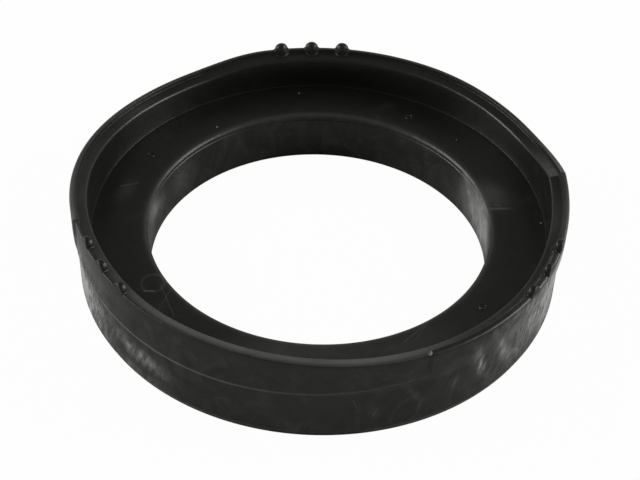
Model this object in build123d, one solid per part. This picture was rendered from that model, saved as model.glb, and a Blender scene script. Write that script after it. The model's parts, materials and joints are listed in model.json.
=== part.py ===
from build123d import *
import math
import os

# Coil spring insulator: a moulded rubber ring that sits between the end of a coil spring and its seat.
# Millimetres, +Z up. The origin is on the axis of the hole, in the plane of the flat underside.
# Angles are in degrees about +Z, from +X.

# Driving dimensions of the seat floor and its hole
floor_thickness = 18.0
hole_radius = 56.3
hole_edge_round = 1.6

# Driving dimensions of the cup that holds the end coil
cup_radius = 74.6
cup_corner_bevel = 0.9

# Driving dimensions of the wall and the lip round its top
wall_thickness = 4.5
bottom_bevel_width = 1.4
bottom_bevel_height = 3.2
lip_overhang = 1.1
flare_start_height = 19.0
flare_end_height = 25.5

# Driving dimensions of the rim's section: a land that rises outwards, a step up to an outer strip that falls a
# little, and a small bevel at the edge on either side
land_width = 3.5
land_rise = 0.7
step_width = 0.2
step_rise = 1.35
strip_fall = 0.15
inner_edge_bevel = 0.6
lip_edge_bevel = 0.4

# Height of the rim's inner edge above the underside, and the angle of each place where its slope changes
ridge_angle = 5.0
ridge_height = 33.7
hollow_angle = 28.0
hollow_height = 28.4
back_level_start = 62.0
back_level_end = 106.0
back_level_height = 29.4
dip_angle = 127.0
dip_height = 27.6
crown_angle = 200.0
crown_height = 34.0
shoulder_angle = 235.0
shoulder_height = 31.8
front_level_start = 310.0
front_level_end = 323.0
front_level_height = 28.9

# Driving dimensions of the relief in the outside of the wall, the inside of a cone set off the ring's axis
relief_angle = 246.5
relief_half_spread = 48.5
relief_offset = 2.0
relief_slope = 1.6
relief_lowest_height = 19.5

# Driving dimensions of the nubs on the rim
nub_groups = 3
nubs_in_group = 3
nub_first_group_angle = 93.5
nub_pitch = 8.0
nub_radius = 2.4
nub_inset = 0.9
nub_trim = 0.05
nub_root = 2.0

# How far the cutting shapes run past the rubber, and the widest step between points along the rim
cut_margin = 3.0
rim_point_step = 4.0

wall_radius = cup_radius + wall_thickness
lip_radius = wall_radius + lip_overhang
step_foot_radius = cup_radius + land_width
step_top_radius = step_foot_radius + step_width
full_height = max(ridge_height, crown_height) + land_rise + step_rise + cut_margin


def wave(share):
    """Rises from 0 to 1 with a level start and a level end."""
    return (1.0 - math.cos(math.pi * share)) / 2.0


def early(share):
    """Rises from 0 to 1, fast at first, with a level end."""
    return math.sin(math.pi * share / 2.0)


def late(share):
    """Rises from 0 to 1, from a level start, fast at the end."""
    return 1.0 - math.cos(math.pi * share / 2.0)


# Once round the rim from the ridge: angle, height of the inner edge, and how it goes on to the next place
RIM_PLACES = [
    (ridge_angle, ridge_height, early),
    (hollow_angle, hollow_height, wave),
    (back_level_start, back_level_height, wave),
    (back_level_end, back_level_height, wave),
    (dip_angle, dip_height, wave),
    (crown_angle, crown_height, wave),
    (shoulder_angle, shoulder_height, wave),
    (front_level_start, front_level_height, wave),
    (front_level_end, front_level_height, late),
    (ridge_angle + 360.0, ridge_height, wave),
]


def rim_height(angle):
    """Height of the rim's inner edge at an angle."""
    turned = (angle - ridge_angle) % 360.0 + ridge_angle
    for (start, low, ease), (end, high, _) in zip(RIM_PLACES, RIM_PLACES[1:]):
        if turned <= end:
            return low + (high - low) * ease((turned - start) / (end - start))


def at(radius, angle, height):
    """A point given by its radius, angle and height."""
    turn = math.radians(angle)
    return Vector(radius * math.cos(turn), radius * math.sin(turn), height)


def turned_body():
    """The ring before its rim is shaped: floor, hole, wall and lip turned about the axis."""
    with BuildPart() as ring:
        with BuildSketch(Plane.XZ) as section:
            with BuildLine():
                Polyline(
                    (hole_radius, 0.0),
                    (wall_radius - bottom_bevel_width, 0.0),
                    (wall_radius, bottom_bevel_height),
                    (wall_radius, flare_start_height),
                    (lip_radius, flare_end_height),
                    (lip_radius, full_height),
                    (cup_radius, full_height),
                    (cup_radius, floor_thickness + cup_corner_bevel),
                    (cup_radius - cup_corner_bevel, floor_thickness),
                    (hole_radius, floor_thickness),
                    close=True,
                )
            make_face()
            hole_edge = section.vertices().sort_by_distance((hole_radius, floor_thickness))[0]
            fillet(hole_edge, hole_edge_round)
        revolve(axis=Axis.Z)
    return ring.part


def rim_line(radius, lift, start, end):
    """One line along the rim between two angles, at a radius and at a lift above the rim's inner edge."""
    steps = max(2, math.ceil((end - start) / rim_point_step))
    angles = [start + (end - start) * i / steps for i in range(steps + 1)]
    return Edge.make_spline([at(radius, angle, rim_height(angle) + lift) for angle in angles])


def in_relief(angle):
    """Whether an angle lies between the ends of the relief."""
    off = (angle - relief_angle + 180.0) % 360.0 - 180.0
    return abs(off) < relief_half_spread


def rim_section(angle):
    """The rim's section as radii and lifts above the inner edge, run on past the cup's wall and the lip."""
    land_slope = land_rise / land_width
    land_lift = inner_edge_bevel * land_slope
    land = [
        (cup_radius - cut_margin, land_lift - inner_edge_bevel - cut_margin),
        (cup_radius + inner_edge_bevel, land_lift),
        (step_foot_radius, land_rise),
    ]
    if in_relief(angle):
        reach = lip_radius + cut_margin
        return land + [(reach, land_rise + land_slope * (reach - step_foot_radius))]
    edge_lift = land_rise + step_rise - strip_fall
    return land + [
        (step_top_radius, land_rise + step_rise),
        (lip_radius - lip_edge_bevel, edge_lift),
        (lip_radius + cut_margin, edge_lift - lip_edge_bevel - cut_margin),
    ]


def rim_cutters():
    """What is cut away above the rim: a solid for each flat of its section in each of its stretches."""
    ends = [place[0] for place in RIM_PLACES]
    ends = sorted(ends + [relief_angle - relief_half_spread, relief_angle + relief_half_spread])
    up = Vector(0.0, 0.0, full_height)
    cutters = []
    for start, end in zip(ends, ends[1:]):
        section = rim_section((start + end) / 2.0)
        lines = [rim_line(radius, lift, start, end) for radius, lift in section]
        for inner, outer in zip(lines, lines[1:]):
            cutters.append(Solid.extrude(Face.make_surface_from_curves(inner, outer), up))
    return cutters


def relief_cutter():
    """What is cut away outside the relief's cone, between the two ends of the relief."""
    reach = full_height - relief_lowest_height + cut_margin
    base_height = relief_lowest_height - reach
    base_radius = wall_radius + relief_offset + reach * math.tan(math.radians(relief_slope))
    top_radius = wall_radius + relief_offset - reach * math.tan(math.radians(relief_slope))
    cone = Cone(base_radius, top_radius, 2.0 * reach, align=(Align.CENTER, Align.CENTER, Align.MIN))
    cone = Pos(at(relief_offset, relief_angle + 180.0, base_height)) * cone
    width = lip_radius + cut_margin - cup_radius
    slab = Pos(cup_radius + width / 2.0, full_height / 2.0) * Rectangle(width, full_height)
    sector = revolve(Plane.XZ * slab, axis=Axis.Z, revolution_arc=2.0 * relief_half_spread)
    return Rot(0.0, 0.0, relief_angle - relief_half_spread) * sector - cone


def rim_outer_radius(angle):
    """Radius of the rim's outer edge: the lip, or the relief's cone between the ends of the relief."""
    if not in_relief(angle):
        return lip_radius
    narrowing = (rim_height(angle) - relief_lowest_height) * math.tan(math.radians(relief_slope))
    return wall_radius - narrowing + relief_offset * (1.0 - math.cos(math.radians(angle - relief_angle)))


def nub():
    """One nub: a half ball on a root that is sunk below the rim's top."""
    with BuildPart() as shape:
        with BuildSketch(Plane.XZ):
            with BuildLine():
                Line((0.0, -nub_root), (nub_radius, -nub_root))
                Line((nub_radius, -nub_root), (nub_radius, 0.0))
                RadiusArc((nub_radius, 0.0), (0.0, nub_radius), -nub_radius)
                Line((0.0, nub_radius), (0.0, -nub_root))
            make_face()
        revolve(axis=Axis.Z)
    return shape.part


def nubs():
    """The groups of nubs, evenly spread round the rim, each cut off flush with the rim's outer side."""
    placed = []
    shape = nub()
    keep = Cylinder(lip_radius - nub_trim, 2.0 * full_height)
    for group in range(nub_groups):
        middle = nub_first_group_angle + 360.0 * group / nub_groups
        for place in range(nubs_in_group):
            angle = middle + nub_pitch * (place - (nubs_in_group - 1) / 2.0)
            radius = rim_outer_radius(angle) - nub_inset
            lift = land_rise if in_relief(angle) else land_rise + step_rise - strip_fall
            placed.append(Pos(at(radius, angle, rim_height(angle) + lift)) * shape & keep)
    return placed


def spring_pad():
    """The whole moulding."""
    pad = turned_body() - rim_cutters() + nubs()
    return pad - relief_cutter()


if __name__ == "__main__":
    pad = spring_pad()
    pad.label = "spring_pad"
    print("volume", round(pad.volume, 1), "solids", len(pad.solids()), "valid", pad.is_valid)
    os.makedirs("parts", exist_ok=True)
    export_step(pad, "parts/spring_pad.step")
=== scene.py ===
"""The looks of a coil spring insulator: a thick moulded rubber ring with a stepped rim and marker nubs.

Metres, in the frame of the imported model: the origin is on the axis of the through hole, in the plane of the
underside, with +Z up. Angles round the ring are in degrees about +Z, from +X.
"""

import json
import logging
import math
from abc import ABC, abstractmethod
from dataclasses import dataclass, field
from enum import Enum
from functools import reduce
from operator import add
from typing import Any, Iterable, Optional, Sequence, Union

import bmesh
import bpy
import numpy as np
from mathutils import Matrix, Vector


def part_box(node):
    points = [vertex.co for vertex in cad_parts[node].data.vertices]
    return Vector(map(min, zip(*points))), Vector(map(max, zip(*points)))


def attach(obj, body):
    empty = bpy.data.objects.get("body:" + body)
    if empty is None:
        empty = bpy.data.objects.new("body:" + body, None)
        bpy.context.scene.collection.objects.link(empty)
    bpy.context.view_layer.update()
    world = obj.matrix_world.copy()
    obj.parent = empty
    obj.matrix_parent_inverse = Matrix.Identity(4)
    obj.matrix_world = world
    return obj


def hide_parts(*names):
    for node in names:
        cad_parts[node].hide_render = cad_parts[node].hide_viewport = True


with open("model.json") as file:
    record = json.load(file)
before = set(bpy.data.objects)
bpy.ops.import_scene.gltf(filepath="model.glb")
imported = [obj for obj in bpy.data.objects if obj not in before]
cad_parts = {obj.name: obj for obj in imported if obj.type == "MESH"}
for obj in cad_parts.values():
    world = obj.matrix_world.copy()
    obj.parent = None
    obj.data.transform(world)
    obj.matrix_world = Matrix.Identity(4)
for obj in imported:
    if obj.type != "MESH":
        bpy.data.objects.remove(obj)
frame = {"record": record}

LOG = logging.getLogger("spring_pad")
NODE = "spring_pad"
CLEAN = "clean"
MM = 0.001
FULL_TURN = 360.0
FRONT = 270.0

Numbers = Union[float, np.ndarray]
Colour = tuple[float, float, float, float]


def smoothstep(low: Numbers, high: Numbers, value: np.ndarray) -> np.ndarray:
    """A soft step: with t = (value - low) / (high - low) held to 0..1, it is t * t * (3 - 2 * t).

    Args:
        low: Where the step starts.
        high: Where the step ends.
        value: Where it is worked out.

    Returns:
        The step's height, 0 to 1, at each value.
    """
    share = np.clip((value - low) / (high - low), 0.0, 1.0)
    return share * share * (3.0 - 2.0 * share)


def turn_between(angle: np.ndarray, centre: float) -> np.ndarray:
    """The signed turn from a centre to each angle, at most half a turn either way."""
    half_turn = FULL_TURN / 2.0
    return (angle - centre + half_turn) % FULL_TURN - half_turn


def turned_points(radius: np.ndarray, angle: np.ndarray, height: np.ndarray) -> np.ndarray:
    """The points (r cos a, r sin a, z), from radii, angles in degrees and heights."""
    turn = np.radians(angle)
    return np.stack([radius * np.cos(turn), radius * np.sin(turn), height], axis=-1)


class Ease(Enum):
    """How the rim's height goes from one place to the next."""

    WAVE = "level at both ends"
    EARLY = "fast at first, level at the end"
    LATE = "level at first, fast at the end"

    def of(self, share: np.ndarray) -> np.ndarray:
        """The share of the rise at each share of the way.

        The wave is (1 - cos(pi s)) / 2, the early one sin(pi s / 2), and the late one 1 - cos(pi s / 2).

        Args:
            share: Shares of the way, 0 to 1.

        Returns:
            Shares of the rise, 0 to 1.
        """
        if self is Ease.WAVE:
            return (1.0 - np.cos(math.pi * share)) / 2.0
        if self is Ease.EARLY:
            return np.sin(math.pi * share / 2.0)
        return 1.0 - np.cos(math.pi * share / 2.0)


@dataclass(frozen=True)
class RimPlace:
    """A place on the rim where its slope changes."""

    angle: float
    height: float
    ease: Ease


# Once round the rim from the ridge: the angle, the height of the inner edge, and how it goes on from there
RIM_PLACES = (
    RimPlace(5.0, 33.7 * MM, Ease.EARLY),
    RimPlace(28.0, 28.4 * MM, Ease.WAVE),
    RimPlace(62.0, 29.4 * MM, Ease.WAVE),
    RimPlace(106.0, 29.4 * MM, Ease.WAVE),
    RimPlace(127.0, 27.6 * MM, Ease.WAVE),
    RimPlace(200.0, 34.0 * MM, Ease.WAVE),
    RimPlace(235.0, 31.8 * MM, Ease.WAVE),
    RimPlace(310.0, 28.9 * MM, Ease.WAVE),
    RimPlace(323.0, 28.9 * MM, Ease.LATE),
    RimPlace(365.0, 33.7 * MM, Ease.WAVE),
)


@dataclass(frozen=True)
class PadSizes:
    """The moulding's sizes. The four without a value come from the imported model."""

    hole_radius: float
    floor_thickness: float
    hole_edge_round: float
    lip_radius: float
    cup_radius: float = 74.6 * MM
    wall_radius: float = 79.1 * MM
    hole_bottom_round: float = 0.35 * MM
    cup_corner_round: float = 0.15 * MM
    bottom_edge_width: float = 1.4 * MM
    bottom_edge_height: float = 3.2 * MM
    bottom_edge_round: float = 0.5 * MM
    flare_start: float = 19.0 * MM
    flare_end: float = 25.5 * MM
    flare_round: float = 0.96 * MM
    bead_half: float = 0.3 * MM
    bead_out: float = 0.12 * MM
    bead_round: float = 0.1 * MM
    bend_round: float = 0.15 * MM
    shoulder_limit: float = 24.0 * MM
    hole_groove: float = 0.2 * MM
    groove_round: float = 0.03 * MM
    land_width: float = 3.5 * MM
    land_rise: float = 0.7 * MM
    step_width: float = 0.2 * MM
    step_rise: float = 1.35 * MM
    strip_fall: float = 0.15 * MM
    inner_edge_round: float = 0.9 * MM
    step_foot_round: float = 0.12 * MM
    step_top_round: float = 0.2 * MM
    lip_edge_round: float = 0.8 * MM
    relief_edge_round: float = 0.3 * MM
    relief_angle: float = 246.5
    relief_half_spread: float = 48.5
    relief_offset: float = 2.0 * MM
    relief_slope: float = math.tan(math.radians(1.6))
    relief_lowest: float = 19.5 * MM
    relief_end_soft: float = 0.45
    rim_places: tuple[RimPlace, ...] = RIM_PLACES

    @classmethod
    def from_frame(cls, record: dict) -> "PadSizes":
        """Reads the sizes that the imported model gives.

        Args:
            record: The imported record.

        Returns:
            The moulding's sizes.
        """
        mounts = {mount["name"]: mount for mount in record["mounts"]}
        hole = mounts["through_hole"]["dims"]
        thickness = mounts["coil_seat"]["pos_m"][2]
        return cls(
            hole_radius=hole["r_mm"] * MM,
            floor_thickness=thickness,
            hole_edge_round=thickness - hole["length_mm"] * MM,
            lip_radius=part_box(NODE)[1].x,
        )

    @property
    def step_radii(self) -> tuple[float, float]:
        """Radii of the foot and the top of the step between the land and the outer strip."""
        foot = self.cup_radius + self.land_width
        return foot, foot + self.step_width

    @property
    def ridge_angle(self) -> float:
        """The angle of the ridge, the rim's highest place."""
        return self.rim_places[0].angle

    def rim_height(self, angle: np.ndarray) -> np.ndarray:
        """Height of the rim's inner edge: each stretch goes from its height to the next one's by its ease.

        Args:
            angle: Angles round the ring.

        Returns:
            The height at each angle.
        """
        turned = (angle - self.ridge_angle) % FULL_TURN + self.ridge_angle
        height = np.zeros_like(turned)
        for here, beyond in zip(self.rim_places, self.rim_places[1:]):
            share = np.clip((turned - here.angle) / (beyond.angle - here.angle), 0.0, 1.0)
            inside = (turned >= here.angle) & (turned <= beyond.angle)
            rise = (beyond.height - here.height) * here.ease.of(share)
            height = np.where(inside, here.height + rise, height)
        return height

    def relief_share(self, angle: np.ndarray) -> np.ndarray:
        """How far each angle lies in the relief: 1 between its ends and 0 outside, with a short soft step.

        Args:
            angle: Angles round the ring.

        Returns:
            The share at each angle.
        """
        off = np.abs(turn_between(angle, self.relief_angle))
        soft = self.relief_end_soft
        return 1.0 - smoothstep(self.relief_half_spread - soft, self.relief_half_spread + soft, off)

    def relief_swing(self, angle: np.ndarray) -> np.ndarray:
        """How far the relief's offset moves its cone outwards: d (1 - cos a), a from the relief's middle."""
        off = np.radians(turn_between(angle, self.relief_angle))
        return self.relief_offset * (1.0 - np.cos(off))

    def relief_radius(self, angle: np.ndarray, height: np.ndarray) -> np.ndarray:
        """Radius of the relief: a cone set off the axis by d, so about R + d (1 - cos a) - slope (z - z0).

        Args:
            angle: Angles round the ring.
            height: Heights above the underside.

        Returns:
            The cone's radius at each angle and height.
        """
        return self.wall_radius + self.relief_swing(angle) - self.relief_slope * (height - self.relief_lowest)

    def shoulder_height(self, angle: np.ndarray) -> np.ndarray:
        """Height at which the flare meets the relief's cone, from setting the two radii equal.

        Args:
            angle: Angles round the ring.

        Returns:
            The height at each angle.
        """
        flare = (self.lip_radius - self.wall_radius) / (self.flare_end - self.flare_start)
        level = flare * self.flare_start + self.relief_slope * self.relief_lowest + self.relief_swing(angle)
        return level / (flare + self.relief_slope)

    def flare_radius(self, height: np.ndarray) -> np.ndarray:
        """Radius of the wall and the flare above it, in straight runs from the wall's radius to the lip's."""
        return np.interp(height, [self.flare_start, self.flare_end], [self.wall_radius, self.lip_radius])

    def outer_radius(self, angle: np.ndarray) -> np.ndarray:
        """Radius of the rim's outer edge: the lip's, or the relief's between its ends.

        Args:
            angle: Angles round the ring.

        Returns:
            The radius at each angle.
        """
        share = self.relief_share(angle)
        relief = self.relief_radius(angle, self.rim_height(angle) + self.land_rise)
        return share * relief + (1.0 - share) * self.lip_radius

    def lift(self, angle: np.ndarray, radius: np.ndarray) -> np.ndarray:
        """Height of the rim's top above its inner edge: the land, the step and the outer strip.

        These are straight runs. In the relief there is no step, and the land goes on at its own slope.

        Args:
            angle: Angles round the ring.
            radius: Radii of the places asked for.

        Returns:
            The lift at each place.
        """
        foot, top = self.step_radii
        high = self.land_rise + self.step_rise
        radii = [self.cup_radius, foot, top, self.lip_radius]
        stepped = np.interp(radius, radii, [0.0, self.land_rise, high, high - self.strip_fall])
        plain = self.land_rise * np.maximum(radius - self.cup_radius, 0.0) / self.land_width
        share = self.relief_share(angle)
        return share * plain + (1.0 - share) * stepped

    def rim_top(self, angle: np.ndarray, radius: np.ndarray) -> np.ndarray:
        """Height of the rim's top at each place.

        Args:
            angle: Angles round the ring.
            radius: Radii of the places asked for.

        Returns:
            The height of the top at each place.
        """
        return self.rim_height(angle) + self.lift(angle, radius)


@dataclass(frozen=True)
class Corner:
    """A rounded corner of the ring's section, with the steps of its arc and of the run that follows it.

    Its radius, height and setback are each one number, or one for each column of the ring.
    """

    radius: Numbers
    height: Numbers
    setback: Numbers
    arc_steps: int = 4
    run_steps: int = 4


class Section:
    """A closed section of straight runs and rounded corners, carried round the ring's axis."""

    def __init__(self, corners: Sequence[Corner], columns: int) -> None:
        """Spreads the corners over the columns.

        Args:
            corners: The section's corners in order, once round.
            columns: How many columns the ring has.
        """
        self.corners = list(corners)
        self.places = [self.spread(corner.radius, corner.height, columns) for corner in self.corners]
        self.setbacks = [self.spread(corner.setback, corner.setback, columns) for corner in self.corners]

    @staticmethod
    def spread(first: Numbers, second: Numbers, columns: int) -> np.ndarray:
        """Two values at every column, side by side."""
        return np.stack([np.broadcast_to(first, (columns,)), np.broadcast_to(second, (columns,))], axis=-1)

    @staticmethod
    def direction(start: np.ndarray, end: np.ndarray) -> np.ndarray:
        """The unit directions from some points to others."""
        way = end - start
        return way / np.linalg.norm(way, axis=-1, keepdims=True)

    def cut(self, index: int) -> tuple[np.ndarray, np.ndarray, np.ndarray]:
        """Where a corner's arc starts and ends, and its weight: the cosine of half the turn.

        Args:
            index: The corner's number.

        Returns:
            The arc's start, its end and the weight, at every column.
        """
        place, setback = self.places[index], self.setbacks[index]
        back = self.direction(place, self.places[index - 1])
        ahead = self.direction(place, self.places[(index + 1) % len(self.places)])
        weight = np.sqrt(np.clip((1.0 - (back * ahead).sum(-1)) / 2.0, 0.0, 1.0))
        return place + back * setback, place + ahead * setback, weight[:, None]

    def rows(self) -> np.ndarray:
        """The section's points at every angle.

        A corner P of weight w, with its arc from A to B, is the curve
        ((1-s)^2 A + 2 w s (1-s) P + s^2 B) / ((1-s)^2 + 2 w s (1-s) + s^2), which is a true arc. A run goes
        evenly from one corner's B to the next one's A.

        Returns:
            An array of rows, angles and the two values radius and height.
        """
        count = len(self.corners)
        starts, ends, weights = zip(*(self.cut(index) for index in range(count)))
        rows = []
        for index, corner in enumerate(self.corners):
            for share in np.linspace(0.0, 1.0, corner.arc_steps + 1):
                lead, tail = (1.0 - share) ** 2, share**2
                middle = 2.0 * weights[index] * share * (1.0 - share)
                arc = lead * starts[index] + middle * self.places[index] + tail * ends[index]
                rows.append(arc / (lead + middle + tail))
            following = starts[(index + 1) % count]
            for share in np.linspace(0.0, 1.0, corner.run_steps + 1)[1:-1]:
                rows.append(ends[index] * (1.0 - share) + following * share)
        return np.stack(rows)


def closed_grid(rows: int, columns: int) -> np.ndarray:
    """The four-sided faces of a grid that closes on itself both ways, as a ring's surface does.

    Args:
        rows: Points round the section.
        columns: Points round the axis.

    Returns:
        One row of four point numbers for each face.
    """
    row, column = np.meshgrid(np.arange(rows), np.arange(columns), indexing="ij")
    next_row, next_column = (row + 1) % rows, (column + 1) % columns
    around = [(row, column), (row, next_column), (next_row, next_column), (next_row, column)]
    return np.stack([r * columns + c for r, c in around], axis=-1).reshape(-1, 4)


def capped_grid(rows: int, columns: int, first: int) -> np.ndarray:
    """The faces of a grid that closes round its columns, between the rows.

    Args:
        rows: Points from top to bottom.
        columns: Points round the axis.
        first: Number of the grid's first point.

    Returns:
        One row of four point numbers for each face.
    """
    row, column = np.meshgrid(np.arange(rows - 1), np.arange(columns), indexing="ij")
    next_column = (column + 1) % columns
    around = [(row, column), (row + 1, column), (row + 1, next_column), (row, next_column)]
    return first + np.stack([r * columns + c for r, c in around], axis=-1).reshape(-1, 4)


@dataclass
class MarkerNubs:
    """The groups of domed nubs that stand on the rim, their outer sides flush with the rim's outer edge."""

    sizes: PadSizes
    groups: int = 3
    in_group: int = 3
    first_angle: float = 93.5
    pitch: float = 8.0
    radius: float = 2.4 * MM
    inset: float = 0.9 * MM
    foot_round: float = 0.35 * MM
    skirt: float = 0.1 * MM
    root: float = 1.2 * MM
    flat_inset: float = 0.04 * MM
    flat_round: float = 0.12 * MM
    columns: int = 44
    dome_steps: int = 13
    foot_steps: int = 6

    def angles(self) -> list[float]:
        """Spreads the groups evenly round the ring, and the nubs by their pitch in each group.

        Returns:
            The angle of each nub's middle.
        """
        middles = [self.first_angle + FULL_TURN * group / self.groups for group in range(self.groups)]
        steps = [self.pitch * (place - (self.in_group - 1) / 2.0) for place in range(self.in_group)]
        return [middle + step for middle in middles for step in steps]

    def profile(self) -> np.ndarray:
        """The nub's profile from its top down: a dome, a hollow foot, and a skirt and a root inside the rim.

        The dome is (R sin t, R cos t), down to where its height is that of the foot, F. The foot is a hollow
        quarter circle, (F (1 - cos t), F (1 - sin t)) out from there.

        Returns:
            Distances from the nub's axis and heights above the land, two columns.
        """
        dome = np.linspace(0.0, math.acos(self.foot_round / self.radius), self.dome_steps + 1)
        parts = [self.radius * np.stack([np.sin(dome), np.cos(dome)], axis=-1)]
        foot = np.linspace(0.0, math.pi / 2.0, self.foot_steps + 1)[1:]
        out = parts[0][-1, 0] + self.foot_round * (1.0 - np.cos(foot))
        parts.append(np.stack([out, self.foot_round * (1.0 - np.sin(foot))], axis=-1))
        edge = out[-1]
        parts.append(np.array([[edge + self.skirt, -self.skirt], [edge, -self.root], [0.0, -self.root]]))
        return np.concatenate(parts)

    def shell(self, angle: float) -> np.ndarray:
        """One nub's points: its profile turned about its own axis, laid on the rim and pressed flat outside.

        The flat side holds a distance r from the ring's axis to F - k log(1 + exp((F - r) / k)).

        Args:
            angle: The angle of the nub's middle.

        Returns:
            An array of profile points, columns and the three coordinates.
        """
        profile = self.profile()
        turn = np.linspace(0.0, 2.0 * math.pi, self.columns, endpoint=False)
        outward = profile[:, :1] * np.cos(turn)
        along = profile[:, :1] * np.sin(turn)
        here = np.array([float(angle)])
        rim_edge = float(self.sizes.outer_radius(here)[0])
        centre = rim_edge - self.inset
        side = centre + outward
        flat = rim_edge - self.flat_inset
        side = flat - self.flat_round * np.logaddexp(0.0, (flat - side) / self.flat_round)
        spread = np.degrees(np.arctan2(along, side))
        distance = np.hypot(side, along)
        turned = angle + spread
        on_land = self.sizes.rim_top(turned, np.maximum(distance, self.sizes.cup_radius))
        at_middle = float(self.sizes.rim_top(here, np.array([centre]))[0])
        low = smoothstep(self.radius, 0.0, profile[:, 1:])
        height = profile[:, 1:] + low * on_land + (1.0 - low) * at_middle
        return turned_points(distance, turned, height)


@dataclass
class PinMarks:
    """The small round marks of the mould's pins on the seat floor: a low rim round a level middle."""

    sizes: PadSizes
    places: tuple[tuple[float, float], ...] = (
        (-58.9 * MM, 30.8 * MM),
        (31.0 * MM, 57.3 * MM),
        (51.7 * MM, -38.9 * MM),
    )
    radius: float = 0.95 * MM
    rim_height: float = 0.16 * MM
    rim_width: float = 0.3 * MM
    middle_rise: float = 0.01 * MM
    sunk: float = 0.05 * MM
    columns: int = 28
    rim_steps: int = 8

    def shell(self, place: tuple[float, float]) -> np.ndarray:
        """One mark's points: a middle level with the floor, then a rim h sin^2(pi s) across its width.

        Args:
            place: The mark's middle.

        Returns:
            An array of profile points, columns and the three coordinates.
        """
        share = np.linspace(0.0, 1.0, self.rim_steps + 1)
        across_rim = self.radius + self.rim_width * share
        distance = np.concatenate([[0.0], across_rim, across_rim[-1:]])
        rim = self.middle_rise + (self.rim_height - self.middle_rise) * np.sin(math.pi * share) ** 2
        rise = np.concatenate([[self.middle_rise], rim, [-self.sunk]])
        turn = np.linspace(0.0, 2.0 * math.pi, self.columns, endpoint=False)
        x = place[0] + distance[:, None] * np.cos(turn)
        y = place[1] + distance[:, None] * np.sin(turn)
        z = self.sizes.floor_thickness + rise[:, None] + 0.0 * turn
        return np.stack([x, y, z], axis=-1)


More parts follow.
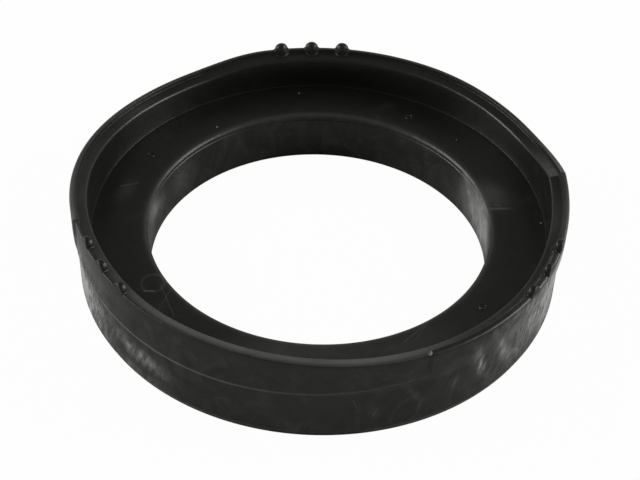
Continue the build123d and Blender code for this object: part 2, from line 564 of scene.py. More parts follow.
@dataclass
class Moulding:
    """The whole moulded ring with its nubs and pin marks, one piece of rubber."""

    sizes: PadSizes
    nubs: MarkerNubs
    pins: PinMarks
    columns: int = 760
    busy_strength: float = 9.0
    busy_width: float = 1.2
    density_points: int = 14401
    merge_distance: float = 0.0001 * MM
    thing: Optional[bpy.types.Object] = field(default=None, init=False)

    def column_angles(self) -> np.ndarray:
        """The angles of the grid's columns, closer together at the ridge and at the ends of the relief.

        The running total of a density, 1 plus s exp(-(d/w)^2) for each busy place, is cut into equal shares.

        Returns:
            The angles in degrees, from 0 to below 360.
        """
        fine = np.linspace(0.0, FULL_TURN, self.density_points)
        density = np.ones_like(fine)
        half = self.sizes.relief_half_spread
        for place in (self.sizes.ridge_angle, self.sizes.relief_angle - half, self.sizes.relief_angle + half):
            density += self.busy_strength * np.exp(-((turn_between(fine, place) / self.busy_width) ** 2))
        total = np.concatenate([[0.0], np.cumsum((density[1:] + density[:-1]) / 2.0)])
        return np.interp(np.linspace(0.0, total[-1], self.columns, endpoint=False), total, fine)

    def section(self, angle: np.ndarray) -> Section:
        """The ring's section at every angle: underside, wall, flare or shoulder, rim, cup, floor and hole.

        Args:
            angle: The angles of the grid's columns.

        Returns:
            The section, each corner given at all the angles.
        """
        s = self.sizes
        share = s.relief_share(angle)
        shoulder = np.minimum(s.shoulder_height(angle), s.shoulder_limit)
        low, high = shoulder - s.bead_half, shoulder + s.bead_half
        bend = np.minimum(s.flare_start, low - s.bead_half)
        rim = s.rim_height(angle)
        relief_top = s.rim_top(angle, s.relief_radius(angle, rim + s.land_rise))
        foot, top = (np.full_like(angle, radius) for radius in s.step_radii)
        floor, groove = s.floor_thickness, s.floor_thickness - s.hole_edge_round - 2.0 * s.hole_groove

        def mixed(in_relief: Numbers, elsewhere: Numbers) -> np.ndarray:
            """Takes the first value in the relief and the second elsewhere."""
            return share * in_relief + (1.0 - share) * elsewhere

        edge = mixed(s.relief_radius(angle, relief_top), s.lip_radius)
        bead = mixed(s.relief_radius(angle, shoulder) + s.bead_out, s.flare_radius(shoulder))
        above_bead = mixed(s.relief_radius(angle, high), s.flare_radius(high))
        flare_top = mixed(s.relief_radius(angle, s.flare_end), s.lip_radius)
        corners = [
            Corner(s.hole_radius, 0.0, s.hole_bottom_round),
            Corner(s.wall_radius - s.bottom_edge_width, 0.0, s.bottom_edge_round, arc_steps=5, run_steps=2),
            Corner(s.wall_radius, s.bottom_edge_height, s.bottom_edge_round, arc_steps=5),
            Corner(s.wall_radius, bend, s.bend_round, arc_steps=3, run_steps=2),
            Corner(s.flare_radius(low), low, s.bead_round, arc_steps=3, run_steps=1),
            Corner(bead, shoulder, s.bead_round, run_steps=1),
            Corner(above_bead, high, s.bead_round, arc_steps=3),
            Corner(flare_top, s.flare_end, s.flare_round),
            Corner(edge, s.rim_top(angle, edge), mixed(s.relief_edge_round, s.lip_edge_round), arc_steps=6),
            Corner(top, s.rim_top(angle, top), s.step_top_round, run_steps=2),
            Corner(foot, s.rim_top(angle, foot), s.step_foot_round, run_steps=3),
            Corner(s.cup_radius, rim, s.inner_edge_round, arc_steps=6),
            Corner(s.cup_radius, floor, s.cup_corner_round),
            Corner(s.hole_radius, floor, s.hole_edge_round, arc_steps=7, run_steps=1),
            Corner(s.hole_radius, groove + s.hole_groove, s.groove_round, arc_steps=2, run_steps=1),
            Corner(s.hole_radius + s.hole_groove, groove, s.groove_round, arc_steps=2, run_steps=1),
            Corner(s.hole_radius, groove - s.hole_groove, s.groove_round, arc_steps=2),
        ]
        return Section(corners, len(angle))

    def ring(self) -> np.ndarray:
        """Carries the section round the axis.

        Returns:
            An array of the section's rows, the columns and the three coordinates.
        """
        angle = self.column_angles()
        rows = self.section(angle).rows()
        return turned_points(rows[..., 0], angle, rows[..., 1])

    def shells(self) -> list[np.ndarray]:
        """The points of each nub and then of each pin mark."""
        nubs = [self.nubs.shell(angle) for angle in self.nubs.angles()]
        return nubs + [self.pins.shell(place) for place in self.pins.places]

    def build(self) -> bpy.types.Object:
        """Makes one mesh of the ring and the shells, whose points are marked as clean of bloom.

        Returns:
            The piece, its object at the origin.
        """
        grids = [self.ring(), *self.shells()]
        counts = [rows * columns for rows, columns, _ in (grid.shape for grid in grids)]
        firsts = np.cumsum(counts)
        points = np.concatenate([grid.reshape(-1, 3) for grid in grids])
        faces = [closed_grid(*grids[0].shape[:2])]
        faces += [capped_grid(*shell.shape[:2], first) for shell, first in zip(grids[1:], firsts)]
        mesh = bpy.data.meshes.new(NODE + "_moulding")
        mesh.from_pydata(points.tolist(), [], np.concatenate(faces).tolist())
        mesh.update()
        clean = (np.arange(len(points)) >= counts[0]).astype(np.float32)
        mesh.attributes.new(CLEAN, "FLOAT", "POINT").data.foreach_set("value", clean)
        self.thing = bpy.data.objects.new("moulded_ring", mesh)
        bpy.context.scene.collection.objects.link(self.thing)
        self.close_and_smooth()
        LOG.info("moulded_ring: %d points, %d faces", len(mesh.vertices), len(mesh.polygons))
        return self.thing

    def close_and_smooth(self) -> None:
        """Merges the points at the shells' poles, turns the faces outwards and shades them smooth."""
        work = bmesh.new()
        work.from_mesh(self.thing.data)
        bmesh.ops.remove_doubles(work, verts=work.verts, dist=self.merge_distance)
        bmesh.ops.recalc_face_normals(work, faces=work.faces)
        for polygon in work.faces:
            polygon.smooth = True
        work.to_mesh(self.thing.data)
        work.free()

    def dress(self, finish: "MouldedRubber") -> None:
        """Gives the ring its rubber and says what it stands for.

        Args:
            finish: The rubber's finish.
        """
        self.thing.data.materials.append(finish.material())
        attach(self.thing, "root")
        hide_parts(NODE)


class Value:
    """A number that varies over a surface: an output socket with Python's arithmetic."""

    def __init__(self, tree: "Shader", socket: bpy.types.NodeSocket) -> None:
        """Keeps the shader and the socket.

        Args:
            tree: The shader that the socket is in.
            socket: The output that holds the number.
        """
        self.tree = tree
        self.socket = socket

    def _math(self, operation: str, *others: Union["Value", float], swap: bool = False) -> "Value":
        """Adds a Math node.

        Args:
            operation: What the node does.
            others: The values that follow this one.
            swap: Whether the first other comes before this one.

        Returns:
            The node's result.
        """
        inputs = [self, *others]
        if swap:
            inputs = [others[0], self]
        node = self.tree.node("ShaderNodeMath", {"operation": operation}, dict(enumerate(inputs)))
        return Value(self.tree, node.outputs[0])

    def __add__(self, other: Union["Value", float]) -> "Value":
        """self + other."""
        return self._math("ADD", other)

    __radd__ = __add__

    def __sub__(self, other: Union["Value", float]) -> "Value":
        """self - other."""
        return self._math("SUBTRACT", other)

    def __rsub__(self, other: float) -> "Value":
        """other - self."""
        return self._math("SUBTRACT", other, swap=True)

    def __mul__(self, other: Union["Value", float]) -> "Value":
        """self * other."""
        return self._math("MULTIPLY", other)

    __rmul__ = __mul__

    def __truediv__(self, other: Union["Value", float]) -> "Value":
        """self / other."""
        return self._math("DIVIDE", other)

    def __pow__(self, power: float) -> "Value":
        """self to a power."""
        return self._math("POWER", power)

    def abs(self) -> "Value":
        """The value without its sign."""
        return self._math("ABSOLUTE")

    def cos(self) -> "Value":
        """The cosine of the value, in radians."""
        return self._math("COSINE")

    def exp(self) -> "Value":
        """e to the value."""
        return self._math("EXPONENT")

    def step(self, low: float, high: float) -> "Value":
        """A soft step from 0 at low to 1 at high.

        Args:
            low: Where the step is 0.
            high: Where the step is 1, above or below low.

        Returns:
            The step.
        """
        settings = {"interpolation_type": "SMOOTHSTEP"}
        inputs = {0: self, 1: low, 2: high, 3: 0.0, 4: 1.0}
        return Value(self.tree, self.tree.node("ShaderNodeMapRange", settings, inputs).outputs[0])

    def bell(self, centre: float, width: float) -> "Value":
        """A bell of height 1: exp(-((x - centre) / width)^2).

        Args:
            centre: Where the bell is highest.
            width: How far from there it falls to about a third.

        Returns:
            The bell.
        """
        off = (self - centre) / width
        return (off * off * -1.0).exp()


Input = Union[Value, bpy.types.NodeSocket, float, int, Sequence[float]]


class Shader:
    """A node tree, with one way to add any node."""

    def __init__(self, tree: bpy.types.NodeTree) -> None:
        """Takes a tree and empties it.

        Args:
            tree: The tree of a material or of the room.
        """
        self.tree = tree
        self.tree.nodes.clear()

    @classmethod
    def of_material(cls, name: str) -> tuple[bpy.types.Material, "Shader"]:
        """Starts a material with an empty tree.

        Args:
            name: The material's name.

        Returns:
            The material and its shader.
        """
        material = bpy.data.materials.new(name)
        material.use_nodes = True
        return material, cls(material.node_tree)

    def node(
        self,
        kind: str,
        settings: Optional[dict[str, Any]] = None,
        inputs: Optional[dict[Union[str, int], Input]] = None,
    ) -> bpy.types.Node:
        """Adds a node.

        Args:
            kind: The node's type.
            settings: Its properties, set first.
            inputs: A value or a link for each socket named or numbered.

        Returns:
            The node.
        """
        made = self.tree.nodes.new(kind)
        for name, value in (settings or {}).items():
            setattr(made, name, value)
        for name, value in (inputs or {}).items():
            if isinstance(value, Value):
                value = value.socket
            if isinstance(value, bpy.types.NodeSocket):
                self.tree.links.new(value, made.inputs[name])
            else:
                made.inputs[name].default_value = value
        return made

    def value(self, node: bpy.types.Node, output: Union[str, int] = 0) -> Value:
        """A node's output as a value."""
        return Value(self, node.outputs[output])

    def vector(self, x: Input, y: Input, z: Input) -> bpy.types.NodeSocket:
        """A vector of three values."""
        return self.node("ShaderNodeCombineXYZ", {}, {0: x, 1: y, 2: z}).outputs[0]

    def blend(self, share: Value, first: Input, second: Input) -> bpy.types.NodeSocket:
        """A colour between two, by a share. Sockets 6, 7 and the output 2 are the node's colour sockets."""
        settings = {"data_type": "RGBA", "blend_type": "MIX", "clamp_factor": True}
        return self.node("ShaderNodeMix", settings, {0: share, 6: first, 7: second}).outputs[2]


def total(values: Iterable[Value]) -> Value:
    """The sum of some values."""
    return reduce(add, values)


@dataclass(frozen=True)
class Spot:
    """A point of the rubber: its coordinates, its radius and its turn from the front in radians."""

    x: Value
    y: Value
    z: Value
    radius: Value
    turn: Value

    @classmethod
    def at(cls, shader: Shader, place: Input) -> "Spot":
        """Takes a place apart.

        Args:
            shader: The rubber's shader.
            place: The object's own coordinates.

        Returns:
            The spot.
        """
        parts = shader.node("ShaderNodeSeparateXYZ", {}, {0: place})
        x, y, z = (shader.value(parts, index) for index in range(3))
        turn = shader.value(shader.node("ShaderNodeMath", {"operation": "ARCTAN2"}, {0: x, 1: y * -1.0}))
        return cls(x, y, z, (x * x + y * y) ** 0.5, turn)


@dataclass(frozen=True)
class Clouds:
    """Cloudy noise about 0.5: clouds in a metre, finer layers, their strength and its pull."""

    scale: float
    detail: float
    roughness: float
    distortion: float = 0.0

    def on(self, shader: Shader, place: Input) -> Value:
        """Works out the noise.

        Args:
            shader: The rubber's shader.
            place: Where it is worked out.

        Returns:
            The noise at each place.
        """
        inputs = {
            "Vector": place,
            "Scale": self.scale,
            "Detail": self.detail,
            "Roughness": self.roughness,
            "Distortion": self.distortion,
        }
        return shader.value(shader.node("ShaderNodeTexNoise", {}, inputs), "Fac")


@dataclass(frozen=True)
class Streaks:
    """Brushed streaks: noise drawn out along a leaning direction of a chart, sharpened by a soft step."""

    lean: float = 72.0
    length: float = 15.0 * MM
    width: float = 2.8 * MM
    low: float = 0.42
    high: float = 0.64
    noise: Clouds = Clouds(1.0, 6.0, 0.62, 2.2)

    def on(self, shader: Shader, first: Value, second: Value) -> Value:
        """Works out the streaks on a chart.

        Args:
            shader: The rubber's shader.
            first: The chart's first direction, in metres.
            second: The chart's second direction, in metres.

        Returns:
            How much streak there is at each point.
        """
        lean = math.radians(self.lean)
        along = (first * math.cos(lean) + second * math.sin(lean)) / self.length
        off = (second * math.cos(lean) - first * math.sin(lean)) / self.width
        return self.noise.on(shader, shader.vector(along, off, 0.0)).step(self.low, self.high)


@dataclass(frozen=True)
class Blotches:
    """Irregular pale blotches, a little taller than wide: pulled-about noise, sharpened by a soft step."""

    across: float = 11.0 * MM
    up: float = 16.0 * MM
    low: float = 0.4
    high: float = 0.7
    noise: Clouds = Clouds(1.0, 8.0, 0.68, 1.5)

    def on(self, shader: Shader, first: Value, second: Value) -> Value:
        """How much blotch there is at each point of the chart."""
        place = shader.vector(first / self.across, second / self.up, 0.0)
        return self.noise.on(shader, place).step(self.low, self.high)


class Chart(Enum):
    """The surfaces that carry marks, each with two flat directions."""

    FLOOR = "the seat floor: x and y"
    WALL = "the outside: the way round from the front, and the height"
    HOLE = "the hole's wall: the way round from the front, and the height"
    LAND = "the top of the rim: the way round from the front, and the radius"


@dataclass(frozen=True)
class Charts:
    """Where each chart lies on the ring, with the soft edges between them."""

    sizes: PadSizes
    edge: float = 0.6 * MM
    wall_depth: float = 2.4 * MM
    wall_top: tuple[float, float] = (31.5 * MM, 28.5 * MM)
    wall_seam: tuple[float, float] = (math.pi, math.radians(165.0))
    hole_core: float = 0.2 * MM
    floor_top: tuple[float, float] = (0.3 * MM, 0.1 * MM)
    land_bottom: tuple[float, float] = (24.0 * MM, 28.0 * MM)

    def outside(self, spot: Spot) -> Value:
        """The outside of the wall, left out at the back, where the chart closes.

        Args:
            spot: The point.

        Returns:
            How far the point belongs to it.
        """
        wall = self.sizes.wall_radius
        belongs = spot.radius.step(wall - self.wall_depth, wall - self.edge) * spot.z.step(*self.wall_top)
        return belongs * spot.turn.abs().step(*self.wall_seam)

    def laid_out(self, spot: Spot) -> dict[Chart, tuple[Value, Value, Value]]:
        """Lays out the charts: the way round is a radius times the turn from the front.

        Args:
            spot: The point.

        Returns:
            For each chart its two directions and how far the point belongs to it.
        """
        s = self.sizes
        in_hole = spot.radius.step(s.hole_radius + self.edge, s.hole_radius + self.hole_core)
        low, high = (s.floor_thickness - below for below in self.floor_top)
        on_floor = spot.z.step(low, high) * spot.radius.step(s.cup_radius, s.cup_radius - self.edge)
        on_land = spot.radius.step(s.cup_radius, s.cup_radius + self.edge) * spot.z.step(*self.land_bottom)
        return {
            Chart.FLOOR: (spot.x, spot.y, on_floor),
            Chart.WALL: (spot.turn * s.wall_radius, spot.z, self.outside(spot)),
            Chart.HOLE: (spot.turn * s.hole_radius, spot.z, in_hole),
            Chart.LAND: (spot.turn * s.wall_radius, spot.radius, on_land),
        }


@dataclass(frozen=True)
class Mark(ABC):
    """A mark on the rubber, placed in millimetres on its chart and leaning by some degrees."""

    chart: Chart
    across: float
    up: float
    length: float
    width: float
    lean: float
    strength: float

    @abstractmethod
    def form(self, along: Value, off: Value) -> Value:
        """The mark's form, from the shares of its length and of its width."""

    def cover(self, first: Value, second: Value) -> Value:
        """How much of the mark there is at each point of its chart.

        Args:
            first: The chart's first direction, in metres.
            second: The chart's second direction, in metres.

        Returns:
            The mark's form at the point, times its strength.
        """
        turn = math.radians(self.lean)
        right, rise = first - self.across * MM, second - self.up * MM
        along = right * math.cos(turn) + rise * math.sin(turn)
        off = rise * math.cos(turn) - right * math.sin(turn)
        return self.form(along / (self.length * MM), off / (self.width * MM)) * self.strength


@dataclass(frozen=True)
class Patch(Mark):
    """A soft patch, exp(-(a^2 + b^2)), with a and b the two shares."""

    def form(self, along: Value, off: Value) -> Value:
        """The patch's form."""
        return ((along * along + off * off) * -1.0).exp()


@dataclass(frozen=True)
class Scratch(Mark):
    """A thin straight line, exp(-b^2), cut short softly where a reaches 1."""

    end_soft: float = 0.75

    def form(self, along: Value, off: Value) -> Value:
        """The scratch's form."""
        return (off * off * -1.0).exp() * along.abs().step(1.0, self.end_soft)


@dataclass(frozen=True)
class Loop(Mark):
    """A thin ring, exp(-((d - 1) / t)^2), with d the square root of a^2 + b^2."""

    thin: float = 0.13

    def form(self, along: Value, off: Value) -> Value:
        """The loop's form."""
        return ((along * along + off * off) ** 0.5).bell(1.0, self.thin)


# Chart, across, up, length, width, lean and strength. Grey bloom, loops and scratches, and patches of painted
# sheen: painted highlights and reflections on the sides of the wall, the hole's wall, the rim's top and the
# front of the seat floor
MARKS_AND_PAINTED_SHEEN: tuple[Mark, ...] = (
    # Painted highlights: large lighter patches on the left side of the wall
    Patch(Chart.WALL, -87.0, 9.0, 12.0, 12.0, 0.0, 0.9),
    Patch(Chart.WALL, -98.0, 10.0, 8.0, 13.0, 0.0, 2.0),
    # Other marks on the lower left of the wall
    Patch(Chart.WALL, -58.0, 12.2, 10.0, 3.0, -9.0, 0.75),
    Patch(Chart.WALL, -60.0, 4.0, 12.0, 2.0, 0.0, 0.35),
    # Painted highlights: large lighter patches on the right side of the wall
    Patch(Chart.WALL, 84.0, 21.0, 18.0, 15.0, 0.0, 1.25),
    Patch(Chart.WALL, 99.0, 18.0, 9.0, 13.0, 0.0, 1.8),
    # Other marks on the wall: streaks, a loop, patches and scratches
    Patch(Chart.WALL, 53.5, 17.0, 6.5, 1.7, -69.0, 1.3),
    Patch(Chart.WALL, 62.0, 20.0, 9.0, 1.6, -62.0, 0.6),
    Patch(Chart.WALL, 44.0, 14.4, 6.0, 2.2, -60.0, 0.21),
    Loop(Chart.WALL, 28.0, 8.0, 6.0, 4.0, 60.0, 0.07),
    Patch(Chart.WALL, 18.0, 11.0, 4.0, 1.6, -70.0, 0.154),
    Patch(Chart.WALL, 30.0, 16.0, 5.0, 1.2, -50.0, 0.14),
    Patch(Chart.WALL, -6.0, 5.0, 12.0, 2.2, 0.0, 0.084),
    Scratch(Chart.WALL, 12.3, 15.0, 2.1, 0.16, -70.0, 0.35),
    Scratch(Chart.WALL, -30.0, 11.0, 5.0, 0.14, 12.0, 0.098),
    Scratch(Chart.WALL, 24.0, 24.0, 6.0, 0.14, -8.0, 0.084),
    # Painted reflections: lighter patches on the hole's wall at its left and right
    Patch(Chart.HOLE, 99.0, 8.0, 10.0, 8.0, 0.0, 1.35),
    Patch(Chart.HOLE, 111.0, 8.0, 8.0, 7.0, 0.0, 0.35),
    Patch(Chart.HOLE, 112.0, 12.0, 6.0, 2.0, 55.0, 0.3),
    Patch(Chart.HOLE, -97.0, 12.0, 8.0, 3.5, 25.0, 0.413),
    Patch(Chart.HOLE, -118.0, 9.0, 5.0, 7.0, 0.0, 0.12),
    Patch(Chart.HOLE, -90.0, 6.0, 6.0, 4.0, 0.0, 0.15),
    # Painted sheen and highlights on the rim's land and its outer strip
    Patch(Chart.LAND, -35.0, 76.2, 42.0, 1.5, 0.0, 0.149),
    Patch(Chart.LAND, 20.0, 76.4, 20.0, 1.7, 0.0, 0.124),
    Patch(Chart.LAND, 112.0, 76.5, 10.0, 2.0, 0.0, 0.0496),
    Patch(Chart.LAND, -170.0, 76.5, 9.0, 1.6, 0.0, 0.062),
    Patch(Chart.LAND, -100.0, 79.4, 26.0, 0.8, 0.0, 0.149),
    Patch(Chart.LAND, 112.0, 79.4, 24.0, 0.8, 0.0, 0.0992),
    # Painted reflection: a broad lighter patch at the front of the seat floor
    Patch(Chart.FLOOR, -14.0, -63.0, 26.0, 7.0, 6.0, 0.06),
    # Other marks, a loop and scratches on the seat floor
    Patch(Chart.FLOOR, 32.0, -56.0, 14.0, 5.0, 30.0, 0.036),
    Patch(Chart.FLOOR, 58.8, 15.0, 4.2, 6.5, 18.0, 0.11),
    Patch(Chart.FLOOR, -65.0, 12.0, 2.6, 5.5, -12.0, 0.06),
    Patch(Chart.FLOOR, 60.2, 8.3, 3.2, 0.55, 4.0, 0.16),
    Scratch(Chart.FLOOR, 59.6, 10.0, 1.4, 0.3, -20.0, 0.08),
    Scratch(Chart.FLOOR, -64.5, 14.5, 3.5, 0.25, 18.0, 0.12),
    Loop(Chart.FLOOR, -51.4, -33.0, 3.6, 3.9, 0.0, 0.054),
    Scratch(Chart.FLOOR, -52.3, -36.6, 2.0, 0.16, 4.0, 0.36),
    Scratch(Chart.FLOOR, -46.3, -40.2, 9.0, 0.13, -68.0, 0.108),
    Scratch(Chart.FLOOR, -47.0, -40.0, 8.5, 0.13, -108.0, 0.072),
    Scratch(Chart.FLOOR, 29.6, -52.0, 5.8, 0.13, 49.0, 0.084),
    Scratch(Chart.FLOOR, 33.0, -49.0, 6.5, 0.13, 62.0, 0.06),
)


@dataclass(frozen=True)
class Speck:
    """A speck of dust: its place and its size in millimetres."""

    x: float
    y: float
    z: float
    size: float
    core: float = 0.4

    def cover(self, spot: Spot) -> Value:
        """How much of the speck there is: a soft step of the distance from its place.

        Args:
            spot: The point.

        Returns:
            The share of dust.
        """
        right, deep, rise = spot.x - self.x * MM, spot.y - self.y * MM, spot.z - self.z * MM
        distance = (right * right + deep * deep + rise * rise) ** 0.5
        return distance.step(self.size * MM, self.size * self.core * MM)


DUST_SPECKS = (
    Speck(-37.3, 47.8, 18.0, 0.4),
    Speck(-25.8, 69.7, 18.4, 0.35),
    Speck(-8.9, 69.6, 18.0, 0.35),
    Speck(73.4, 1.7, 18.0, 0.4),
    Speck(47.5, 45.0, 18.0, 0.25),
)


@dataclass(frozen=True)
class ShoulderHighlight:
    """A painted highlight along the relief's shoulder, where its rounded edge catches the light: brightest at
    the left and fading round the front.
    """

    sizes: PadSizes
    strength: float = 0.3
    width: float = 0.34 * MM
    brightest: float = -56.0
    fade: float = 62.0
    end_share: float = 0.97

    def on(self, spot: Spot) -> Value:
        """How much painted highlight each point gets: a bell of its height over the shoulder's.

        The shoulder is lowest at the relief's middle. With a the turn from there and e that of the relief's
        ends, it rises towards the ends by the share (1 - cos a) / (1 - cos e).

        Args:
            spot: The point.

        Returns:
            The painted highlight.
        """
        s = self.sizes
        ends = np.array([s.relief_angle, s.relief_angle - s.relief_half_spread])
        lowest, highest = s.shoulder_height(ends).tolist()
        spread = math.radians(s.relief_half_spread)
        off = spot.turn - math.radians(s.relief_angle - FRONT)
        share = (1.0 - off.cos()) / (1.0 - math.cos(spread))
        line = (spot.z - (share * (highest - lowest) + lowest)).bell(0.0, self.width)
        inside = off.abs().step(spread, spread * self.end_share)
        fading = spot.turn.bell(math.radians(self.brightest), math.radians(self.fade))
        return line * inside * fading * self.strength


@dataclass(frozen=True)
class HoleEdgeHighlight:
    """A faint painted highlight on the rounded top edge of the hole."""

    sizes: PadSizes
    strength: float = 0.045
    inset: float = 0.8 * MM
    width: float = 1.1 * MM
    depth: float = 2.4 * MM

    def on(self, spot: Spot) -> Value:
        """How much painted highlight each point gets: a bell of the radius, from a little below the floor
        upwards.

        Args:
            spot: The point.

        Returns:
            The wear.
        """
        s = self.sizes
        ring = spot.radius.bell(s.hole_radius + self.inset, self.width)
        return ring * spot.z.step(s.floor_thickness - self.depth, s.floor_thickness) * self.strength


@dataclass(frozen=True)
class BloomAndSheen:
    """The grey bloom and the painted sheen on the rubber: marks and painted highlights, broken up by streaks,
    blotches and clouds, and the painted highlights on the shoulder and the hole's edge.
    """

    sizes: PadSizes
    marks: tuple[Mark, ...] = MARKS_AND_PAINTED_SHEEN
    streaks: Streaks = Streaks()
    streak_shares: tuple[tuple[Chart, float], ...] = ((Chart.WALL, 0.55), (Chart.HOLE, 0.2))
    blotches: Blotches = Blotches()
    blotch_share: float = 0.4
    blotch_strength: float = 0.045
    steady_share: float = 0.67
    mark_clouds: tuple[float, float] = (0.9, 0.55)
    shoulder_clouds: tuple[float, float] = (0.8, 0.6)
    mottle_cloud: tuple[float, float] = (0.5, 0.78)
    mottle_wide: tuple[float, float] = (0.45, 0.7)
    mottle_strength: float = 0.03
    nub_cleanness: float = 0.9

    @staticmethod
    def patchy(cloud: Value, levels: tuple[float, float]) -> Value:
        """The clouds as a factor: the first level times the cloud, plus the second."""
        return cloud * levels[0] + levels[1]

    def broken(self, shader: Shader, first: Value, second: Value, amount: Value, streaked: float) -> Value:
        """Breaks up the marks on a wall by streaks and blotches, and adds faint blotches everywhere.

        With S and B the streaks and the blotches, s and b their shares and k the steady share, the marks are
        multiplied by s S + b B + (k - s).

        Args:
            shader: The rubber's shader.
            first: The chart's first direction.
            second: The chart's second direction.
            amount: The sum of the chart's marks.
            streaked: The streaks' share.

        Returns:
            The broken amount.
        """
        blotches = self.blotches.on(shader, first, second)
        streaks = self.streaks.on(shader, first, second)
        factor = streaks * streaked + blotches * self.blotch_share + (self.steady_share - streaked)
        return amount * factor + blotches * self.blotch_strength

    def on_charts(self, shader: Shader, spot: Spot, cloud: Value) -> Value:
        """The bloom and the painted sheen of the marks on every chart, each kept to its own surface.

        Args:
            shader: The rubber's shader.
            spot: The point.
            cloud: Clouds about a centimetre across.

        Returns:
            The bloom and painted sheen of all the marks.
        """
        shares = dict(self.streak_shares)
        amounts = []
        for chart, (first, second, belongs) in Charts(self.sizes).laid_out(spot).items():
            amount = total(mark.cover(first, second) for mark in self.marks if mark.chart is chart)
            if chart in shares:
                amount = self.broken(shader, first, second, amount, shares[chart])
            amounts.append(amount * belongs * self.patchy(cloud, self.mark_clouds))
        return total(amounts)

    def on(self, shader: Shader, spot: Spot, cloud: Value, wide: Value) -> Value:
        """All the bloom and painted highlights at each point.

        Args:
            shader: The rubber's shader.
            spot: The point.
            cloud: Clouds about a centimetre across.
            wide: Clouds a few centimetres across.

        Returns:
            The bloom and painted highlights, from 0 for clean rubber.
        """
        # Painted highlights along the relief's shoulder and the hole's top edge, with a faint mottle in the
        # rubber's tone
        shoulder = ShoulderHighlight(self.sizes).on(spot) * Charts(self.sizes).outside(spot)
        shoulder = shoulder * self.patchy(cloud, self.shoulder_clouds)
        mottle = cloud.step(*self.mottle_cloud) * wide.step(*self.mottle_wide) * self.mottle_strength
        highlights_and_mottle = shoulder + HoleEdgeHighlight(self.sizes).on(spot) + mottle
        # The nubs and pin marks are kept mostly free of the bloom and the painted highlights
        clean = shader.value(shader.node("ShaderNodeAttribute", {"attribute_name": CLEAN}), "Fac")
        return (self.on_charts(shader, spot, cloud) + highlights_and_mottle) * (1.0 - clean * self.nub_cleanness)


@dataclass(frozen=True)
class MouldedRubber:
    """Black moulded rubber with a satin skin, grey bloom, painted highlights and reflections, scratches and
    dust.
    """

    # The grey bloom together with the painted highlights and reflections
    bloom: BloomAndSheen
    black: Colour = (0.0066, 0.0066, 0.0050, 1.0)
    # The grey of the bloom, also used for the painted highlights and reflections
    bloom_and_sheen_colour: Colour = (0.40, 0.405, 0.39, 1.0)
    dust_colour: Colour = (0.33, 0.33, 0.32, 1.0)
    specks: tuple[Speck, ...] = DUST_SPECKS
    cloud: Clouds = Clouds(95.0, 5.0, 0.62, 0.6)
    wide: Clouds = Clouds(32.0, 3.0, 0.5, 0.4)
    grain: Clouds = Clouds(2400.0, 2.0, 0.5)
    swell: Clouds = Clouds(130.0, 2.0, 0.5)
    least_roughness: float = 0.25
    cloud_roughness: float = 0.08
    wide_roughness: float = 0.14
    bloom_and_sheen_roughness: float = 0.16
    swell_height: float = 5.0
    bloom_and_sheen_height: float = 2.0
    bump_strength: float = 0.45
    bump_distance: float = 0.09 * MM
    index: float = 1.45

    def material(self) -> bpy.types.Material:
        """Builds the rubber.

        Returns:
            The material.
        """
        material, shader = Shader.of_material("moulded_rubber")
        place = shader.node("ShaderNodeTexCoord").outputs["Object"]
        spot = Spot.at(shader, place)
        cloud, wide = self.cloud.on(shader, place), self.wide.on(shader, place)
        # One share for the grey bloom and the painted highlights and reflections, mixed into the base colour
        bloom = self.bloom.on(shader, spot, cloud, wide)
        dust = total(speck.cover(spot) for speck in self.specks)
        colour = shader.blend(dust, shader.blend(bloom, self.black, self.bloom_and_sheen_colour), self.dust_colour)
        rough = wide * self.wide_roughness + cloud * self.cloud_roughness + bloom * self.bloom_and_sheen_roughness
        height = self.grain.on(shader, place) + self.swell.on(shader, place) * self.swell_height
        bump = shader.node(
            "ShaderNodeBump",
            {},
            {
                "Strength": self.bump_strength,
                "Distance": self.bump_distance,
                "Height": height + bloom * self.bloom_and_sheen_height,
            },
        )
        skin = shader.node(
            "ShaderNodeBsdfPrincipled",
            {},
            {
                "Base Color": colour,
                "Roughness": rough + self.least_roughness,
                "Normal": bump.outputs[0],
                "IOR": self.index,
            },
        )
        shader.node("ShaderNodeOutputMaterial", {}, {"Surface": skin.outputs[0]})
        return material


@dataclass(frozen=True)
class PaleFloor:
    """The plain pale floor under the ring, which keeps a faint shadow."""

    half_size: float = 3.0
    colour: Colour = (0.54, 0.54, 0.54, 1.0)
    white: Colour = (1.0, 1.0, 1.0, 1.0)
    seen_white: float = 0.98

    def build(self) -> bpy.types.Object:
        """Makes the floor.

        Returns:
            The floor's object.
        """
        h = self.half_size
        mesh = bpy.data.meshes.new("floor")
        mesh.from_pydata([(-h, -h, 0.0), (h, -h, 0.0), (h, h, 0.0), (-h, h, 0.0)], [], [(0, 1, 2, 3)])
        mesh.update()
        floor = bpy.data.objects.new("floor", mesh)
        bpy.context.scene.collection.objects.link(floor)
        mesh.materials.append(self.material())
        LOG.info("floor: %.1f m across", 2.0 * h)
        return floor

    def material(self) -> bpy.types.Material:
        """Plain pale paint, nearly white to the camera.

        Returns:
            The material.
        """
        material, shader = Shader.of_material("pale_floor")
        seen = shader.value(shader.node("ShaderNodeLightPath"), "Is Camera Ray")
        paint = shader.node("ShaderNodeBsdfDiffuse", {}, {"Color": self.colour})
        white = shader.node("ShaderNodeEmission", {}, {"Color": self.white, "Strength": 1.0})
        share = seen * self.seen_white
        both = shader.node("ShaderNodeMixShader", {}, {0: share, 1: paint.outputs[0], 2: white.outputs[0]})
        shader.node("ShaderNodeOutputMaterial", {}, {"Surface": both.outputs[0]})
        return material


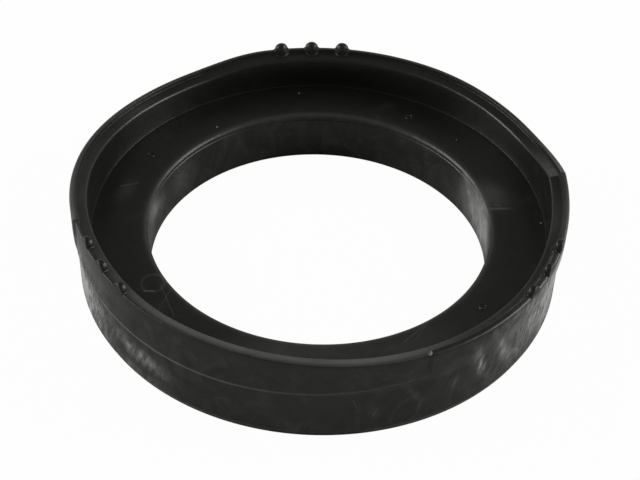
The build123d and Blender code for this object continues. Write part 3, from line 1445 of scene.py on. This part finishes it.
@dataclass(frozen=True)
class SoftBox:
    """A large soft studio lamp that faces a point on the floor."""

    name: str
    place: tuple[float, float, float]
    size: tuple[float, float]
    power: float

    def build(self) -> bpy.types.Object:
        """Makes the lamp.

        Returns:
            The lamp's object.
        """
        light = bpy.data.lights.new(self.name, "AREA")
        light.shape = "RECTANGLE"
        light.size, light.size_y = self.size
        light.energy = self.power
        lamp = bpy.data.objects.new(self.name, light)
        lamp.location = self.place
        lamp.rotation_euler = (-Vector(self.place)).to_track_quat("-Z", "Y").to_euler()
        bpy.context.scene.collection.objects.link(lamp)
        LOG.info("%s: %.1f W", self.name, self.power)
        return lamp


@dataclass(frozen=True)
class Studio:
    """Plain soft light: a room pale low down, dimmer overhead and in front, and a large lamp on each side."""

    low_level: float = 0.85
    high_level: float = 0.2
    low_height: float = 0.05
    high_height: float = 0.55
    front_steps: tuple[float, float] = (0.2, 0.9)
    front_dimming: float = 0.45
    tint: Colour = (1.0, 1.0, 0.965, 1.0)
    lamps: tuple[SoftBox, ...] = (
        SoftBox("lamp_left", (-0.95, 0.1, 0.5), (0.6, 0.6), 8.0),
        SoftBox("lamp_right", (0.95, 0.1, 0.5), (0.6, 0.6), 8.0),
    )

    def build(self) -> None:
        """Lights the scene."""
        world = bpy.data.worlds.new("room")
        world.use_nodes = True
        shader = Shader(world.node_tree)
        direction = shader.node("ShaderNodeTexCoord").outputs["Generated"]
        parts = shader.node("ShaderNodeSeparateXYZ", {}, {0: direction})
        height = shader.value(parts, 2).step(self.low_height, self.high_height)
        level = height * (self.high_level - self.low_level) + self.low_level
        front = (shader.value(parts, 1) * -1.0).step(*self.front_steps)
        level = level * (1.0 - front * self.front_dimming)
        light = shader.node("ShaderNodeBackground", {}, {"Color": self.tint, "Strength": level})
        shader.node("ShaderNodeOutputWorld", {}, {"Surface": light.outputs[0]})
        bpy.context.scene.world = world
        for lamp in self.lamps:
            lamp.build()


@dataclass(frozen=True)
class PhotoCamera:
    """The camera at the photograph's viewing angle, over a frame 640 wide."""

    elevation: float = 41.993
    roll: float = 1.867
    distance: float = 494.75 * MM
    focal_pixels: float = 1462.16
    frame_width: float = 640.0
    aim_right: float = 0.684 * MM
    aim_up: float = 6.48 * MM
    sensor: float = 36.0
    nearest: float = 10.0 * MM

    def build(self) -> bpy.types.Object:
        """Makes the camera: it looks along +Y and down, turned about its own line of sight by the roll.

        Returns:
            The camera's object, set as the scene's camera.
        """
        tilt, roll = math.radians(self.elevation), math.radians(self.roll)
        forward = Vector((0.0, math.cos(tilt), -math.sin(tilt)))
        flat_right = Vector((1.0, 0.0, 0.0))
        flat_up = flat_right.cross(forward)
        right = flat_right * math.cos(roll) + flat_up * math.sin(roll)
        up = flat_up * math.cos(roll) - flat_right * math.sin(roll)
        eye = right * self.aim_right + up * self.aim_up - forward * self.distance
        data = bpy.data.cameras.new("camera")
        data.sensor_width = self.sensor
        data.lens = self.focal_pixels * self.sensor / self.frame_width
        data.clip_start = self.nearest
        camera = bpy.data.objects.new("camera", data)
        turned = Matrix((right, up, -forward)).transposed().to_4x4()
        camera.matrix_world = Matrix.Translation(eye) @ turned
        bpy.context.scene.collection.objects.link(camera)
        bpy.context.scene.camera = camera
        LOG.info("camera: %.1f mm lens", data.lens)
        return camera


def main() -> None:
    """Builds the ring, the floor, the light and the camera, in that order."""
    logging.basicConfig(level=logging.INFO, format="%(name)s: %(message)s")
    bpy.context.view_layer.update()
    sizes = PadSizes.from_frame(frame["record"])
    moulding = Moulding(sizes, MarkerNubs(sizes), PinMarks(sizes))
    moulding.build()
    moulding.dress(MouldedRubber(BloomAndSheen(sizes)))
    PaleFloor().build()
    Studio().build()
    PhotoCamera().build()
    bpy.context.scene.view_settings.view_transform = "Standard"


if __name__ == "__main__":
    main()
